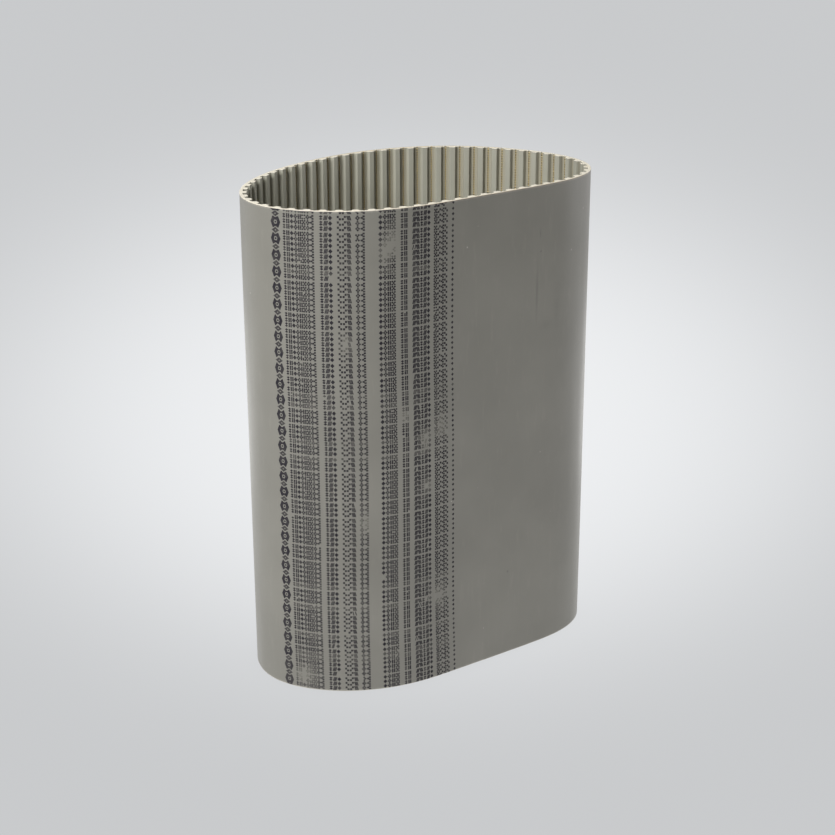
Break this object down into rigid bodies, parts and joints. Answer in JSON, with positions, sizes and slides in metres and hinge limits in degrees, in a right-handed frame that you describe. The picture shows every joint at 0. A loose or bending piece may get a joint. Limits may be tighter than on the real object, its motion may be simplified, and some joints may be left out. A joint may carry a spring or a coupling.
{
  "type": "timing belt",
  "caption": "Wide endless polyurethane timing belt sleeve with trapezoidal teeth inside, standing on its cut edge and flexing as a free loop.",
  "frame": {"origin": "centre of the loop's footprint on the base cut edge", "axes": "+Z across the belt's width, up from the base edge; +X along the long way of the relaxed loop, towards its narrow end"},
  "size_m": [0.241, 0.1558, 0.323],
  "materials": {
    "polyurethane": "satin cast polyurethane, warm grey, slightly translucent, smooth back, pale freshly cut edges",
    "tension_cord": "twisted aramid cord, dull straw yellow",
    "ink": "thin dark grey marking ink, worn in places"
  },
  "bodies": {
    "section_01": {"belt_section_01": "polyurethane", "tension_cords_01": "tension_cord"},
    "section_02": {"belt_section_02": "polyurethane", "tension_cords_02": "tension_cord"},
    "section_03": {"belt_section_03": "polyurethane", "tension_cords_03": "tension_cord"},
    "section_04": {"belt_section_04": "polyurethane", "tension_cords_04": "tension_cord"},
    "section_05": {"belt_section_05": "polyurethane", "tension_cords_05": "tension_cord", "ink_marking_05": "ink"},
    "section_06": {"belt_section_06": "polyurethane", "tension_cords_06": "tension_cord", "ink_marking_06": "ink"},
    "section_07": {"belt_section_07": "polyurethane", "tension_cords_07": "tension_cord", "ink_marking_07": "ink"},
    "section_08": {"belt_section_08": "polyurethane", "tension_cords_08": "tension_cord", "ink_marking_08": "ink"},
    "section_09": {"belt_section_09": "polyurethane", "tension_cords_09": "tension_cord", "ink_marking_09": "ink"},
    "section_10": {"belt_section_10": "polyurethane", "tension_cords_10": "tension_cord"},
    "section_11": {"belt_section_11": "polyurethane", "tension_cords_11": "tension_cord"},
    "section_12": {"belt_section_12": "polyurethane", "tension_cords_12": "tension_cord"},
    "section_13": {"belt_section_13": "polyurethane", "tension_cords_13": "tension_cord"},
    "section_14": {"belt_section_14": "polyurethane", "tension_cords_14": "tension_cord"},
    "section_15": {"belt_section_15": "polyurethane", "tension_cords_15": "tension_cord"},
    "section_16": {"belt_section_16": "polyurethane", "tension_cords_16": "tension_cord"},
    "section_17": {"belt_section_17": "polyurethane", "tension_cords_17": "tension_cord"},
    "section_18": {"belt_section_18": "polyurethane", "tension_cords_18": "tension_cord"},
    "section_19": {"belt_section_19": "polyurethane", "tension_cords_19": "tension_cord"},
    "section_20": {"belt_section_20": "polyurethane", "tension_cords_20": "tension_cord"},
    "section_21": {"belt_section_21": "polyurethane", "tension_cords_21": "tension_cord"}
  },
  "joints": [
    {"name": "squeeze", "type": "hinge", "parent": "section_01", "child": "section_21", "pos_m": [0.11872, -0.02681, 0.1615], "axis": [0, 0, 1], "range_deg": [-7.04, 11.26]},
    {"name": "bend_01_02", "type": "hinge", "parent": "section_01", "child": "section_02", "pos_m": [0.10436, -0.0525, 0.1615], "axis": [0, 0, 1], "range_deg": [-3.76, 6.01]},
    {"name": "bend_02_03", "type": "hinge", "parent": "section_02", "child": "section_03", "pos_m": [0.07763, -0.06545, 0.1615], "axis": [0, 0, 1], "range_deg": [-7.59, 12.13]},
    {"name": "bend_03_04", "type": "hinge", "parent": "section_03", "child": "section_04", "pos_m": [0.048, -0.07002, 0.1615], "axis": [0, 0, 1], "range_deg": [-2.16, 3.44]},
    {"name": "bend_04_05", "type": "hinge", "parent": "section_04", "child": "section_05", "pos_m": [0.01814, -0.0729, 0.1615], "axis": [0, 0, 1], "range_deg": [-0.88, 1.39]},
    {"name": "bend_05_06", "type": "hinge", "parent": "section_05", "child": "section_06", "pos_m": [-0.01173, -0.07565, 0.1615], "axis": [0, 0, 1], "range_deg": [-2.38, 3.8]},
    {"name": "bend_06_07", "type": "hinge", "parent": "section_06", "child": "section_07", "pos_m": [-0.04169, -0.07667, 0.1615], "axis": [0, 0, 1], "range_deg": [-6.07, 9.7]},
    {"name": "bend_07_08", "type": "hinge", "parent": "section_07", "child": "section_08", "pos_m": [-0.07099, -0.07078, 0.1615], "axis": [0, 0, 1], "range_deg": [-3.62, 5.78]},
    {"name": "bend_08_09", "type": "hinge", "parent": "section_08", "child": "section_09", "pos_m": [-0.09695, -0.05602, 0.1615], "axis": [0, 0, 1], "range_deg": [-0.84, 0.53]},
    {"name": "bend_09_10", "type": "hinge", "parent": "section_09", "child": "section_10", "pos_m": [-0.11546, -0.03276, 0.1615], "axis": [0, 0, 1], "range_deg": [-14.25, 8.91]},
    {"name": "bend_10_11", "type": "hinge", "parent": "section_10", "child": "section_11", "pos_m": [-0.11854, -0.0034, 0.1615], "axis": [0, 0, 1], "range_deg": [-24.24, 15.16]},
    {"name": "bend_21_20", "type": "hinge", "parent": "section_21", "child": "section_20", "pos_m": [0.11612, 0.00277, 0.1615], "axis": [0, 0, 1], "range_deg": [-9.39, 15.01]},
    {"name": "bend_20_19", "type": "hinge", "parent": "section_20", "child": "section_19", "pos_m": [0.10228, 0.02926, 0.1615], "axis": [0, 0, 1], "range_deg": [-8.47, 13.55]},
    {"name": "bend_19_18", "type": "hinge", "parent": "section_19", "child": "section_18", "pos_m": [0.0822, 0.05145, 0.1615], "axis": [0, 0, 1], "range_deg": [-1.38, 2.2]},
    {"name": "bend_18_17", "type": "hinge", "parent": "section_18", "child": "section_17", "pos_m": [0.05699, 0.06751, 0.1615], "axis": [0, 0, 1], "range_deg": [-8.18, 5.12]},
    {"name": "bend_17_16", "type": "hinge", "parent": "section_17", "child": "section_16", "pos_m": [0.02823, 0.0757, 0.1615], "axis": [0, 0, 1], "range_deg": [-7.62, 4.77]},
    {"name": "bend_16_15", "type": "hinge", "parent": "section_16", "child": "section_15", "pos_m": [-0.00169, 0.07622, 0.1615], "axis": [0, 0, 1], "range_deg": [-3.61, 2.26]},
    {"name": "bend_15_14", "type": "hinge", "parent": "section_15", "child": "section_14", "pos_m": [-0.03111, 0.07054, 0.1615], "axis": [0, 0, 1], "range_deg": [-2.68, 1.68]},
    {"name": "bend_14_13", "type": "hinge", "parent": "section_14", "child": "section_13", "pos_m": [-0.05924, 0.06022, 0.1615], "axis": [0, 0, 1], "range_deg": [-7.62, 4.77]},
    {"name": "bend_13_12", "type": "hinge", "parent": "section_13", "child": "section_12", "pos_m": [-0.08488, 0.04475, 0.1615], "axis": [0, 0, 1], "range_deg": [-10.43, 6.53]}
  ],
  "couplings": [
    {"joint": "bend_01_02", "follows": "squeeze", "ratio": 0.4921},
    {"joint": "bend_02_03", "follows": "squeeze", "ratio": 0.99533},
    {"joint": "bend_03_04", "follows": "squeeze", "ratio": 0.28116},
    {"joint": "bend_04_05", "follows": "squeeze", "ratio": 0.11277},
    {"joint": "bend_05_06", "follows": "squeeze", "ratio": 0.31058},
    {"joint": "bend_06_07", "follows": "squeeze", "ratio": 0.79563},
    {"joint": "bend_07_08", "follows": "squeeze", "ratio": 0.47375},
    {"joint": "bend_08_09", "follows": "squeeze", "ratio": -0.067255},
    {"joint": "bend_09_10", "follows": "squeeze", "ratio": -1.1699},
    {"joint": "bend_10_11", "follows": "squeeze", "ratio": -1.9908},
    {"joint": "bend_21_20", "follows": "squeeze", "ratio": 1.2319},
    {"joint": "bend_20_19", "follows": "squeeze", "ratio": 1.1119},
    {"joint": "bend_19_18", "follows": "squeeze", "ratio": 0.17897},
    {"joint": "bend_18_17", "follows": "squeeze", "ratio": -0.67081},
    {"joint": "bend_17_16", "follows": "squeeze", "ratio": -0.62467},
    {"joint": "bend_16_15", "follows": "squeeze", "ratio": -0.29498},
    {"joint": "bend_15_14", "follows": "squeeze", "ratio": -0.21842},
    {"joint": "bend_14_13", "follows": "squeeze", "ratio": -0.62479},
    {"joint": "bend_13_12", "follows": "squeeze", "ratio": -0.85578}
  ]
}
